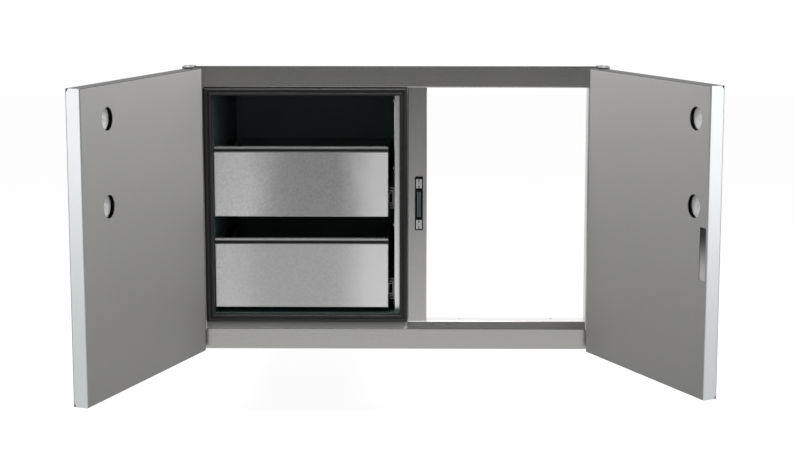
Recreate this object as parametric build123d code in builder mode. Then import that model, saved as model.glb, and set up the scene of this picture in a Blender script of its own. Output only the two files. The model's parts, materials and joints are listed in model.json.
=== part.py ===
from build123d import *
import os
from math import cos, radians, sin

# A stainless door and drawer combination for an outdoor kitchen island, in millimetres.
# The face frame fills a cut-out. Its left bay is a sealed pantry with two drawers, its right bay is an
# open access. Two double-walled doors hang on pivot pins and stand open, as they are modelled here.
# Origin: middle of the bottom rail's rear flange. X to the right, Y into the island, Z up.

# Face frame
FRAME_WIDTH = 914.0
FRAME_HEIGHT = 618.0
FACE_WIDTH = 45.0
FRAME_PROJECTION = 18.0
FRAME_SHEET = 1.5
FRAME_BEND = 2.5
FLANGE_WIDTH = 12.0
SLEEVE_DEPTH = 28.0
SILL_RISE = 15.5
SEAT_RECESS = 10.0

# Screw holes of the sleeve, into the sides of the cut-out
MOUNT_HOLE_RADIUS = 2.5
MOUNT_HOLE_DEPTH = 15.0
SIDE_HOLE_SPACING = 300.0
RAIL_HOLE_SPACING = 200.0

# Centre stile
STILE_LEFT = 25.0
STILE_WIDTH = 42.0

# Pantry liner and its door seal
LINER_SHEET = 1.2
LINER_BEND = 2.0
PANTRY_DEPTH = 508.0
BACK_RIM = 15.0
GASKET_WIDTH = 16.5
GASKET_BASE = 11.5
GASKET_RIB = 5.2
GASKET_MARGIN = 0.5
STILE_REVEAL = 0.5

# Stiffening beads pressed out of the liner sheets
BEAD_WIDTH = 22.0
BEAD_RISE = 2.5
BEAD_TAPER = 40.0
BEAD_END = 80.0
BEAD_SHARES = (0.25, 0.5, 0.75)

# Doors
DOOR_THICKNESS = 32.0
DOOR_GAP = 5.0
DOOR_END_GAP = 1.5
DOOR_SHEET = 1.2
DOOR_SKIN = 2.0
DOOR_BEND = 2.5
SKIN_ROUND = 1.2
MEETING_GAP = 3.0
SEAM_OFFSET = 2.0
LEFT_OPEN_ANGLE = 110.8
RIGHT_OPEN_ANGLE = 116.6
SEAL_CLEARANCE = 0.3
CORNER_RELIEF = 5.0
CORNER_RELIEF_HEIGHT = 7.0

# Door pivots
PIVOT_INSET = 16.0
PIVOT_DEPTH = 25.0
PIN_RADIUS = 3.0
PIN_HEAD_RADIUS = 5.0
PIN_HEAD = 1.0
RUNNING_CLEARANCE = 0.05
BUSH_RADIUS = 4.2
BUSH_LENGTH = 16.0
BUSH_FLANGE_RADIUS = 6.2
BUSH_FLANGE = 1.2
BRACKET_THICKNESS = 2.0
BRACKET_RADIUS = 12.0
HINGE_BLOCK_WIDTH = 30.0
HINGE_BLOCK_HEIGHT = 26.0
BRACKET_SCREW_SPACING = 14.0
BRACKET_SCREW_RADIUS = 2.0
BRACKET_SCREW_LENGTH = 12.0
SCREW_HEAD_RADIUS = 3.6
SCREW_HEAD = 1.0

# Hand holes, handle and inner stiffener of a door
HOLE_WIDTH = 40.0
HOLE_HEIGHT = 46.0
HOLE_DROP = 68.0
HANDLE_SPACING = 171.0
LEFT_HOLE_INSET = 96.0
RIGHT_HOLE_INSET = 46.0
SPACER_SETBACK = 8.0
HANDLE_PROJECTION = 27.0
HANDLE_BAR = 9.0
HANDLE_OVERHANG = 30.0
HANDLE_ROUND = 3.0
POST_RADIUS = 4.0
HANDLE_SCREW_RADIUS = 2.0
HANDLE_SCREW_BITE = 12.0
HANDLE_SCREW_HEAD_RADIUS = 4.0
STIFFENER_WIDTH = 40.0
STIFFENER_END = 45.0

# Magnetic catch on the stile and its strike in the right door
CATCH_OFFSET = 25.0
CATCH_DROP = 297.0
CATCH_WIDTH = 17.0
CATCH_HEIGHT = 117.0
CATCH_BASE = 3.0
CATCH_BODY_HEIGHT = 62.0
CATCH_BODY_WIDTH = 14.0
CATCH_WALL = 3.7
LUG_WIDTH = 12.0
LUG_HEIGHT = 20.0
LUG_DEPTH = 8.0
LUG_SLOT = 2.4
LUG_END = 4.0
POLE_THICKNESS = 1.8
POLE_PROUD = 1.0
CATCH_SCREW_RADIUS = 1.6
CATCH_SCREW_HEAD_RADIUS = 3.0
CATCH_SCREW_HEAD = 1.6
SLOT_WIDTH = 20.0
SLOT_HEIGHT = 104.0
SLOT_DROP = 328.5
SLOT_SHIFT = 6.0
SLOT_ROUND = 3.0
STRIKE_THICKNESS = 1.5
STRIKE_MARGIN = 2.5

# Rubber bumpers behind the hinge side of the doors
BUMPER_RADIUS = 5.0
BUMPER_INSET = 12.0
BUMPER_END = 80.0
BUMPER_ROUND = 1.5

# Drawers
FRONT_SETBACK = 12.0
FRONT_DEPTH = 14.0
FRONT_HEIGHT = 152.5
FRONT_SIDE_GAP = 1.5
FRONT_BEND = 2.0
LIP_HEIGHT = 4.0
LIP_GROOVE = 6.5
TRAY_SHEET = 1.2
TRAY_LENGTH = 420.0
TRAY_SIDE_HEIGHT = 118.0
TRAY_HEM = 8.0
LOWER_DRAWER_RISE = 12.5
DRAWER_PITCH = 201.0

# Three-member drawer slides
SLIDE_SHORTFALL = 20.0
SLIDE_THICKNESS = 12.7
SLIDE_HEIGHT = 45.0
SLIDE_SHEET = 1.2
SLIDE_SETBACK = 6.0
SLIDE_RISE = 38.0
RACE_GAP = 4.3
CAGE_CLEARANCE = 0.3
CAGE_LENGTH = 150.0
CAGE_WIDTH = 4.0
CAGE_END = 10.0
MEMBER_STEP = 1.4
SLIDE_SCREW_RADIUS = 2.0
SLIDE_SCREW_HEAD = 0.8
SLIDE_SCREW_INSET = 18.0
POST_THICKNESS = 12.0
POST_WIDTH = 36.0

# Release lever in each drawer member
LEVER_LENGTH = 44.0
LEVER_HEIGHT = 5.0
LEVER_DEPTH = 4.5
LEVER_DROP = 4.0
LEVER_SETBACK = 160.0
LEVER_CLEARANCE = 0.3
LEVER_EYE_RADIUS = 4.0
LEVER_PIN_RADIUS = 1.5

# Rivets of the slide posts and of the pantry ceiling
RIVET_RADIUS = 1.6
RIVET_HEAD_RADIUS = 3.0
RIVET_HEAD = 2.4
RIVET_END = 16.0
RIVET_SLIDE_GAP = 9.5
RIVET_RISE = 62.5
CEILING_RIVET_SPACING = 105.0
CEILING_RIVET_SETBACK = 20.0

# Places that follow from the sizes
FRAME_HALF = FRAME_WIDTH / 2
FRAME_BOTTOM = -FLANGE_WIDTH / 2
FRAME_TOP = FRAME_BOTTOM + FRAME_HEIGHT
FACE_Y = -FRAME_PROJECTION
SEAT_Y = FACE_Y + SEAT_RECESS
OPENING_HALF = FRAME_HALF - FACE_WIDTH
OPENING_TOP = FRAME_TOP - FACE_WIDTH
SILL_FOOT = FRAME_BOTTOM + FACE_WIDTH
OPENING_BOTTOM = SILL_FOOT + SILL_RISE
OPENING_MID = (OPENING_TOP + OPENING_BOTTOM) / 2
STILE_RIGHT = STILE_LEFT + STILE_WIDTH
ACCESS_MID = (STILE_RIGHT + OPENING_HALF) / 2

GASKET_LEFT = -OPENING_HALF + GASKET_MARGIN
GASKET_RIGHT = STILE_LEFT - STILE_REVEAL
GASKET_BOTTOM = OPENING_BOTTOM + GASKET_MARGIN
GASKET_TOP = OPENING_TOP - GASKET_MARGIN
GASKET_DEPTH = SEAT_RECESS + DOOR_GAP - SEAL_CLEARANCE
PANTRY_LEFT = GASKET_LEFT + GASKET_WIDTH
PANTRY_RIGHT = GASKET_RIGHT - GASKET_WIDTH
PANTRY_BOTTOM = GASKET_BOTTOM + GASKET_WIDTH
PANTRY_TOP = GASKET_TOP - GASKET_WIDTH
PANTRY_BACK = SEAT_Y + PANTRY_DEPTH
BEAD_Y = SEAT_Y + PANTRY_DEPTH / 2
BEAD_LENGTH = PANTRY_DEPTH - 2 * BEAD_END

PIVOT_X = FRAME_HALF - PIVOT_INSET
PIVOT_Y = FACE_Y - DOOR_GAP - PIVOT_DEPTH
DOOR_BOTTOM = FRAME_BOTTOM + DOOR_END_GAP
DOOR_HEIGHT = FRAME_HEIGHT - 2 * DOOR_END_GAP
SEAM_X = STILE_LEFT + SEAM_OFFSET
LEFT_DOOR_WIDTH = FRAME_HALF + SEAM_X
RIGHT_DOOR_WIDTH = FRAME_HALF - SEAM_X - MEETING_GAP
INNER_V = -PIVOT_DEPTH
OUTER_V = DOOR_THICKNESS - PIVOT_DEPTH
SKIN_V = OUTER_V - DOOR_SKIN
UPPER_HOLE_W = FRAME_TOP - HOLE_DROP - DOOR_BOTTOM
HOLE_HEIGHTS = (UPPER_HOLE_W, UPPER_HOLE_W - HANDLE_SPACING)

CATCH_X = STILE_LEFT + CATCH_OFFSET
CATCH_Z = FRAME_TOP - CATCH_DROP
SLOT_Z = FRAME_TOP - SLOT_DROP
CATCH_DEPTH = GASKET_DEPTH
LUG_Z = CATCH_HEIGHT / 2 - LUG_END - LUG_HEIGHT / 2

FRONT_Y = FACE_Y + FRONT_SETBACK
TRAY_Y = FRONT_Y + FRONT_DEPTH
SLIDE_Y = TRAY_Y + SLIDE_SETBACK
SLIDE_LENGTH = TRAY_LENGTH - SLIDE_SHORTFALL
POST_FACE_X = PANTRY_RIGHT - POST_THICKNESS
TRAY_LEFT = PANTRY_LEFT + SLIDE_THICKNESS
TRAY_RIGHT = POST_FACE_X - SLIDE_THICKNESS
TRAY_WIDTH = TRAY_RIGHT - TRAY_LEFT
TRAY_MID = (TRAY_LEFT + TRAY_RIGHT) / 2
FRONT_LEFT = PANTRY_LEFT + FRONT_SIDE_GAP
FRONT_WIDTH = TRAY_RIGHT - FRONT_LEFT
FRONT_MID = (FRONT_LEFT + TRAY_RIGHT) / 2
LOWER_DRAWER_Z = PANTRY_BOTTOM + LOWER_DRAWER_RISE
DRAWERS = {"lower": LOWER_DRAWER_Z, "upper": LOWER_DRAWER_Z + DRAWER_PITCH}

# Slide section: t runs from the mounting wall to the drawer, and half heights step in by one race
OUTER_HALF = SLIDE_HEIGHT / 2
MIDDLE_HALF = OUTER_HALF - SLIDE_SHEET - RACE_GAP
INNER_HALF = MIDDLE_HALF - SLIDE_SHEET - RACE_GAP
MIDDLE_WEB = SLIDE_SHEET + MEMBER_STEP
INNER_TIP = MIDDLE_WEB + SLIDE_SHEET + MEMBER_STEP
OUTER_TIP = SLIDE_THICKNESS - SLIDE_SHEET - 2 * MEMBER_STEP
MIDDLE_TIP = SLIDE_THICKNESS - SLIDE_SHEET - MEMBER_STEP
SLIDE_SCREWS_Y = (SLIDE_Y + SLIDE_SCREW_INSET, SLIDE_Y + SLIDE_LENGTH - SLIDE_SCREW_INSET)
SLIDE_SIDES = {"left": (PANTRY_LEFT, 1), "right": (POST_FACE_X, -1)}
LEVER_PIVOT_Y = SLIDE_Y + LEVER_SETBACK + LEVER_LENGTH


def keep(piece, label):
    """Name a finished piece and write its solid."""
    piece.part.label = label
    export_step(piece.part, f"parts/{label}.step")


def bent_section(plane, points, sheet, bend):
    """Closed section of a sheet that follows a line of bends, with its thickness inside the bends."""
    face = [Vector(*point) for point in points]
    runs = [(end - start).normalized() for start, end in zip(face, face[1:])]
    turn = 1 if runs[0].cross(runs[1]).Z > 0 else -1
    normals = [Vector(0, 0, turn).cross(run) for run in runs]
    back = [face[0] + normals[0] * sheet]
    for corner, before, after in zip(face[1:-1], normals, normals[1:]):
        back.append(corner + (before + after) * (sheet / (1 + before.dot(after))))
    back.append(face[-1] + normals[-1] * sheet)
    with BuildSketch(plane) as section:
        with BuildLine():
            FilletPolyline(*face, radius=bend)
            FilletPolyline(*back, radius=bend - sheet)
            Line(face[0], back[0])
            Line(face[-1], back[-1])
        make_face()
    return section.sketch


def frame_member(label, section, outline, holes):
    """A frame member: its section run across the frame, cut to its mitred outline, with screw holes."""
    with BuildPart() as member:
        extrude(section, amount=FRAME_WIDTH, both=True)
        with BuildSketch(Plane.XZ):
            with BuildLine():
                Polyline(*outline, close=True)
            make_face()
        extrude(amount=SLEEVE_DEPTH * 2, both=True, mode=Mode.INTERSECT)
        for plane, places, radius in holes:
            with BuildSketch(plane):
                with Locations(*places):
                    Circle(radius)
            extrude(amount=FRAME_SHEET * 2, both=True, mode=Mode.SUBTRACT)
    keep(member, label)


def face_frame():
    """Top and bottom rail and the two side stiles, mitred at the corners of the face."""
    rail_path = [
        (SLEEVE_DEPTH, OPENING_TOP),
        (FACE_Y, OPENING_TOP),
        (FACE_Y, FRAME_TOP),
        (0, FRAME_TOP),
        (0, FRAME_TOP - FLANGE_WIDTH),
    ]
    sill_path = [
        (SLEEVE_DEPTH, OPENING_BOTTOM),
        (SEAT_Y, OPENING_BOTTOM),
        (FACE_Y, SILL_FOOT),
        (FACE_Y, FRAME_BOTTOM),
        (0, FRAME_BOTTOM),
        (0, FRAME_BOTTOM + FLANGE_WIDTH),
    ]
    bracket_holes = [
        (side * PIVOT_X + step * BRACKET_SCREW_SPACING / 2, FACE_Y / 2)
        for side in (-1, 1)
        for step in (-1, 1)
    ]
    rail_holes = [(ACCESS_MID + step * RAIL_HOLE_SPACING / 2, MOUNT_HOLE_DEPTH) for step in (-1, 1)]
    screw_hole = BRACKET_SCREW_RADIUS + RUNNING_CLEARANCE
    frame_member(
        "frame_top_rail",
        bent_section(Plane.YZ, rail_path, FRAME_SHEET, FRAME_BEND),
        [
            (-OPENING_HALF, OPENING_TOP),
            (OPENING_HALF, OPENING_TOP),
            (FRAME_HALF, FRAME_TOP),
            (-FRAME_HALF, FRAME_TOP),
        ],
        holes=[
            (Plane.XY.offset(FRAME_TOP), bracket_holes, screw_hole),
            (Plane.XY.offset(OPENING_TOP), rail_holes, MOUNT_HOLE_RADIUS),
        ],
    )
    frame_member(
        "frame_bottom_rail",
        bent_section(Plane.YZ, sill_path, FRAME_SHEET, FRAME_BEND),
        [
            (-OPENING_HALF, OPENING_BOTTOM),
            (OPENING_HALF, OPENING_BOTTOM),
            (OPENING_HALF, SILL_FOOT),
            (FRAME_HALF, FRAME_BOTTOM),
            (-FRAME_HALF, FRAME_BOTTOM),
            (-OPENING_HALF, SILL_FOOT),
        ],
        holes=[
            (Plane.XY.offset(FRAME_BOTTOM), bracket_holes, screw_hole),
            (Plane.XY.offset(OPENING_BOTTOM), rail_holes, MOUNT_HOLE_RADIUS),
        ],
    )
    side_holes = [(MOUNT_HOLE_DEPTH, OPENING_MID + step * SIDE_HOLE_SPACING / 2) for step in (-1, 1)]
    for name, side in (("left", -1), ("right", 1)):
        stile_path = [
            (side * OPENING_HALF, SLEEVE_DEPTH),
            (side * OPENING_HALF, FACE_Y),
            (side * FRAME_HALF, FACE_Y),
            (side * FRAME_HALF, 0),
            (side * (FRAME_HALF - FLANGE_WIDTH), 0),
        ]
        stile_holes = [(Plane.YZ.offset(OPENING_HALF), side_holes, MOUNT_HOLE_RADIUS)] if side > 0 else []
        frame_member(
            f"frame_{name}_stile",
            bent_section(Plane.XY, stile_path, FRAME_SHEET, FRAME_BEND),
            [
                (side * OPENING_HALF, SILL_FOOT),
                (side * OPENING_HALF, OPENING_TOP),
                (side * FRAME_HALF, FRAME_TOP),
                (side * FRAME_HALF, FRAME_BOTTOM),
            ],
            holes=stile_holes,
        )


def centre_stile():
    """Channel between the two bays, standing on the sill."""
    path = [
        (STILE_LEFT, SLEEVE_DEPTH),
        (STILE_LEFT, SEAT_Y),
        (STILE_RIGHT, SEAT_Y),
        (STILE_RIGHT, SLEEVE_DEPTH),
    ]
    section = bent_section(Plane.XY.offset(OPENING_BOTTOM), path, FRAME_SHEET, FRAME_BEND)
    with BuildPart() as stile:
        extrude(section, amount=OPENING_TOP - OPENING_BOTTOM)
        with BuildSketch(Plane.XZ.offset(-SEAT_Y)):
            with Locations((CATCH_X, CATCH_Z - LUG_Z), (CATCH_X, CATCH_Z + LUG_Z)):
                Circle(CATCH_SCREW_RADIUS + RUNNING_CLEARANCE)
        extrude(amount=FRAME_SHEET * 2, both=True, mode=Mode.SUBTRACT)
    keep(stile, "centre_stile")


def pressed_beads(inner_face, offsets):
    """Shallow beads along the depth of a liner sheet, pressed outward from its inner face."""
    places = [(BEAD_Y, offset) for offset in offsets]
    with BuildSketch(inner_face.offset(LINER_SHEET)) as raised:
        with Locations(*places):
            SlotOverall(BEAD_LENGTH, BEAD_WIDTH)
    with BuildSketch(inner_face) as hollow:
        with Locations(*places):
            SlotOverall(BEAD_LENGTH - 2 * LINER_SHEET, BEAD_WIDTH - 2 * LINER_SHEET)
    extrude(raised.sketch, amount=BEAD_RISE, taper=BEAD_TAPER)
    extrude(hollow.sketch, amount=BEAD_RISE, taper=BEAD_TAPER, mode=Mode.SUBTRACT)


def pantry_liner():
    """Five sheets of the sealed bay, with a seat for the gasket turned out around its mouth."""
    slide_holes = [
        (y, z + SLIDE_RISE)
        for y in SLIDE_SCREWS_Y
        for z in DRAWERS.values()
    ]
    seat_back = SEAT_Y + LINER_BEND
    wall_outline = [
        (SEAT_Y, OPENING_BOTTOM),
        (seat_back, OPENING_BOTTOM),
        (seat_back, PANTRY_BOTTOM - LINER_SHEET),
        (PANTRY_BACK, PANTRY_BOTTOM - LINER_SHEET),
        (PANTRY_BACK, PANTRY_TOP + LINER_SHEET),
        (seat_back, PANTRY_TOP + LINER_SHEET),
        (seat_back, OPENING_TOP),
        (SEAT_Y, OPENING_TOP),
    ]
    wall_beads = [z + SLIDE_RISE + DRAWER_PITCH / 2 for z in DRAWERS.values()]
    walls = {
        "pantry_left_wall": (-OPENING_HALF, PANTRY_LEFT, -1),
        "pantry_right_wall": (STILE_LEFT, PANTRY_RIGHT, 1),
    }
    for label, (flange_x, wall_x, outward) in walls.items():
        path = [(flange_x, SEAT_Y), (wall_x, SEAT_Y), (wall_x, PANTRY_BACK)]
        section = bent_section(Plane.XY.offset(OPENING_BOTTOM), path, LINER_SHEET, LINER_BEND)
        with BuildPart() as wall:
            extrude(section, amount=OPENING_TOP - OPENING_BOTTOM)
            with BuildSketch(Plane.YZ):
                with BuildLine():
                    Polyline(*wall_outline, close=True)
                make_face()
            extrude(amount=FRAME_WIDTH, both=True, mode=Mode.INTERSECT)
            if wall_x == PANTRY_LEFT:
                with BuildSketch(Plane.YZ.offset(wall_x)):
                    with Locations(*slide_holes):
                        Circle(SLIDE_SCREW_RADIUS + RUNNING_CLEARANCE)
                extrude(amount=LINER_SHEET * 2, both=True, mode=Mode.SUBTRACT)
            inner_face = Plane(origin=(wall_x, 0, 0), x_dir=(0, 1, 0), z_dir=(outward, 0, 0))
            pressed_beads(inner_face, [outward * z for z in wall_beads])
        keep(wall, label)

    deck_beads = [PANTRY_LEFT + (PANTRY_RIGHT - PANTRY_LEFT) * share for share in BEAD_SHARES]
    decks = {
        "pantry_ceiling": (OPENING_TOP, PANTRY_TOP, 1),
        "pantry_floor": (OPENING_BOTTOM, PANTRY_BOTTOM, -1),
    }
    for label, (flange_z, deck_z, outward) in decks.items():
        path = [(SEAT_Y, flange_z), (SEAT_Y, deck_z), (PANTRY_BACK, deck_z)]
        section = bent_section(Plane.YZ.offset(PANTRY_LEFT), path, LINER_SHEET, LINER_BEND)
        with BuildPart() as deck:
            extrude(section, amount=PANTRY_RIGHT - PANTRY_LEFT)
            if deck_z == PANTRY_TOP:
                with BuildSketch(Plane.XY.offset(deck_z)):
                    with Locations(*ceiling_rivets()):
                        Circle(RIVET_RADIUS + RUNNING_CLEARANCE)
                extrude(amount=LINER_SHEET * 2, both=True, mode=Mode.SUBTRACT)
            inner_face = Plane(origin=(0, 0, deck_z), x_dir=(0, 1, 0), z_dir=(0, 0, outward))
            pressed_beads(inner_face, [-outward * x for x in deck_beads])
        keep(deck, label)

    outer_width = PANTRY_RIGHT - PANTRY_LEFT + 2 * LINER_SHEET
    outer_height = PANTRY_TOP - PANTRY_BOTTOM + 2 * LINER_SHEET
    middle_x = (PANTRY_LEFT + PANTRY_RIGHT) / 2
    middle_z = (PANTRY_BOTTOM + PANTRY_TOP) / 2
    front_align = (Align.CENTER, Align.MAX, Align.CENTER)
    with BuildPart() as back:
        with Locations((middle_x, PANTRY_BACK + LINER_SHEET, middle_z)):
            Box(
                outer_width + 2 * LINER_SHEET,
                BACK_RIM + LINER_SHEET,
                outer_height + 2 * LINER_SHEET,
                align=front_align,
            )
        with Locations((middle_x, PANTRY_BACK, middle_z)):
            Box(outer_width, BACK_RIM, outer_height, align=front_align, mode=Mode.SUBTRACT)
    keep(back, "pantry_back")


def pantry_gasket():
    """Double-ribbed rubber seal: four strips joined at mitred corners on the liner's turned-out seat."""
    outer = [
        (GASKET_LEFT, GASKET_BOTTOM),
        (GASKET_RIGHT, GASKET_BOTTOM),
        (GASKET_RIGHT, GASKET_TOP),
        (GASKET_LEFT, GASKET_TOP),
    ]
    inner = [
        (PANTRY_LEFT, PANTRY_BOTTOM),
        (PANTRY_RIGHT, PANTRY_BOTTOM),
        (PANTRY_RIGHT, PANTRY_TOP),
        (PANTRY_LEFT, PANTRY_TOP),
    ]
    # Each strip's section stands on the seat: x across the strip from its outer edge, y away from the seat
    out = (0, -1, 0)
    starts = [
        Plane(origin=(GASKET_LEFT, SEAT_Y, GASKET_BOTTOM), x_dir=(0, 0, 1), z_dir=(1, 0, 0)),
        Plane(origin=(GASKET_RIGHT, SEAT_Y, GASKET_BOTTOM), x_dir=(-1, 0, 0), z_dir=(0, 0, 1)),
        Plane(origin=(GASKET_RIGHT, SEAT_Y, GASKET_TOP), x_dir=(0, 0, -1), z_dir=(-1, 0, 0)),
        Plane(origin=(GASKET_LEFT, SEAT_Y, GASKET_TOP), x_dir=(1, 0, 0), z_dir=(0, 0, -1)),
    ]
    strips = []
    for index, start in enumerate(starts):
        after = (index + 1) % len(starts)
        rise = 1 if start.y_dir.dot(Vector(*out)) > 0 else -1
        rib_round = GASKET_RIB / 2
        rib_inset = (GASKET_WIDTH / 2 - GASKET_RIB) / 2 + rib_round
        with BuildPart() as strip:
            with BuildSketch(start):
                with Locations((GASKET_WIDTH / 2, rise * GASKET_BASE / 2)):
                    Rectangle(GASKET_WIDTH, GASKET_BASE)
                for across in (rib_inset, GASKET_WIDTH - rib_inset):
                    with Locations((across, rise * (GASKET_DEPTH - rib_round) / 2)):
                        Rectangle(GASKET_RIB, GASKET_DEPTH - rib_round)
                    with Locations((across, rise * (GASKET_DEPTH - rib_round))):
                        Circle(rib_round)
            extrude(amount=FRAME_WIDTH)
            with BuildSketch(Plane.XZ):
                with BuildLine():
                    Polyline(outer[index], outer[after], inner[after], inner[index], close=True)
                make_face()
            extrude(amount=FRAME_WIDTH, both=True, mode=Mode.INTERSECT)
        strips.append(strip.part)
    with BuildPart() as gasket:
        for strip in strips:
            add(strip)
    keep(gasket, "pantry_gasket")


def ceiling_rivets():
    """Places of the two rivets in the pantry ceiling."""
    right = POST_FACE_X - CEILING_RIVET_SPACING / 2
    return [(right - step * CEILING_RIVET_SPACING, SEAT_Y + CEILING_RIVET_SETBACK) for step in (0, 1)]


def post_rivet_heights():
    """Heights of the rivets in the front slide post, clear of the slides."""
    lower_slide, upper_slide = [z + SLIDE_RISE for z in DRAWERS.values()]
    under_slide = OUTER_HALF + RIVET_SLIDE_GAP + RIVET_HEAD_RADIUS
    return [
        lower_slide - under_slide,
        upper_slide - RIVET_RISE,
        upper_slide + RIVET_RISE,
        PANTRY_TOP - RIVET_END,
    ]


def slide_posts():
    """Two channels on the pantry's right wall that carry the right-hand slides."""
    with BuildPart() as posts:
        for middle in SLIDE_SCREWS_Y:
            path = [
                (PANTRY_RIGHT, middle - POST_WIDTH / 2),
                (POST_FACE_X, middle - POST_WIDTH / 2),
                (POST_FACE_X, middle + POST_WIDTH / 2),
                (PANTRY_RIGHT, middle + POST_WIDTH / 2),
            ]
            floor_plane = Plane.XY.offset(PANTRY_BOTTOM)
            section = bent_section(floor_plane, path, LINER_SHEET, LINER_BEND)
            extrude(section, amount=PANTRY_TOP - PANTRY_BOTTOM)
        with BuildSketch(Plane.YZ.offset(POST_FACE_X)):
            with Locations(*[(y, z + SLIDE_RISE) for y in SLIDE_SCREWS_Y for z in DRAWERS.values()]):
                Circle(SLIDE_SCREW_RADIUS + RUNNING_CLEARANCE)
            with Locations(*[(SLIDE_SCREWS_Y[0], z) for z in post_rivet_heights()]):
                Circle(RIVET_RADIUS + RUNNING_CLEARANCE)
        extrude(amount=LINER_SHEET * 2, both=True, mode=Mode.SUBTRACT)
    keep(posts, "slide_posts")


def headed_pin(plane, radius, length, head_radius, head):
    """A screw, rivet or pin: its head stands on the plane and its shank runs back from it."""
    with BuildSketch(plane) as head_disc:
        Circle(head_radius)
    with BuildSketch(plane) as shank_disc:
        Circle(radius)
    extrude(head_disc.sketch, amount=head)
    extrude(shank_disc.sketch, amount=-length)


def liner_rivets():
    """Rivets of the front slide post and of the pantry ceiling."""
    with BuildPart() as rivets:
        for z in post_rivet_heights():
            seat = Plane(origin=(POST_FACE_X, SLIDE_SCREWS_Y[0], z), z_dir=(-1, 0, 0))
            headed_pin(seat, RIVET_RADIUS, 2 * LINER_SHEET, RIVET_HEAD_RADIUS, RIVET_HEAD)
        for x, y in ceiling_rivets():
            seat = Plane(origin=(x, y, PANTRY_TOP), z_dir=(0, 0, -1))
            headed_pin(seat, RIVET_RADIUS, 2 * LINER_SHEET, RIVET_HEAD_RADIUS, RIVET_HEAD)
    keep(rivets, "liner_rivets")


def magnetic_catch():
    """Surface-mounted catch: moulded housing, end lugs, magnet between two pole plates, screws."""
    body_front = CATCH_DEPTH - POLE_PROUD
    pocket_width = CATCH_BODY_WIDTH - 2 * CATCH_WALL
    pocket_height = CATCH_BODY_HEIGHT - 2 * CATCH_WALL
    seat_align = (Align.CENTER, Align.MAX, Align.CENTER)
    lug_front = SEAT_Y - CATCH_BASE - LUG_DEPTH
    screw_places = [(CATCH_X, CATCH_Z + step * LUG_Z) for step in (-1, 1)]
    with BuildPart() as housing:
        with Locations((CATCH_X, SEAT_Y, CATCH_Z)):
            Box(CATCH_WIDTH, CATCH_BASE, CATCH_HEIGHT, align=seat_align)
            Box(CATCH_BODY_WIDTH, body_front, CATCH_BODY_HEIGHT, align=seat_align)
        with Locations((CATCH_X, SEAT_Y - CATCH_BASE, CATCH_Z)):
            Box(pocket_width, CATCH_DEPTH, pocket_height, align=seat_align, mode=Mode.SUBTRACT)
        with BuildSketch(Plane.XZ.offset(-SEAT_Y)):
            with Locations(*screw_places):
                Circle(CATCH_SCREW_RADIUS + RUNNING_CLEARANCE)
        extrude(amount=CATCH_BASE * 2, both=True, mode=Mode.SUBTRACT)
    keep(housing, "catch_housing")

    with BuildPart() as lugs:
        for x, z in screw_places:
            with Locations((x, SEAT_Y - CATCH_BASE, z)):
                Box(LUG_WIDTH, LUG_DEPTH, LUG_HEIGHT, align=seat_align)
        for x, z in screw_places:
            with Locations((x, lug_front, z)):
                Box(LUG_SLOT, LUG_SLOT, LUG_HEIGHT, mode=Mode.SUBTRACT)
        with BuildSketch(Plane.XZ.offset(-lug_front)):
            with Locations(*screw_places):
                Circle(CATCH_SCREW_RADIUS + RUNNING_CLEARANCE)
        extrude(amount=-LUG_DEPTH, mode=Mode.SUBTRACT)
    keep(lugs, "catch_lugs")

    pole_x = (pocket_width - POLE_THICKNESS) / 2
    with BuildPart() as poles:
        with Locations(*[(CATCH_X + step * pole_x, SEAT_Y - CATCH_BASE, CATCH_Z) for step in (-1, 1)]):
            Box(POLE_THICKNESS, CATCH_DEPTH - CATCH_BASE, pocket_height, align=seat_align)
    keep(poles, "catch_pole_plates")

    with BuildPart() as magnet:
        with Locations((CATCH_X, SEAT_Y - CATCH_BASE, CATCH_Z)):
            Box(
                pocket_width - 2 * POLE_THICKNESS,
                body_front - CATCH_BASE - CATCH_WALL,
                pocket_height,
                align=seat_align,
            )
    keep(magnet, "catch_magnet")

    with BuildPart() as screws:
        for x, z in screw_places:
            seat = Plane(origin=(x, lug_front, z), z_dir=(0, -1, 0))
            shank = LUG_DEPTH + CATCH_BASE + 2 * FRAME_SHEET
            headed_pin(seat, CATCH_SCREW_RADIUS, shank, CATCH_SCREW_HEAD_RADIUS, CATCH_SCREW_HEAD)
    keep(screws, "catch_screws")


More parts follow.
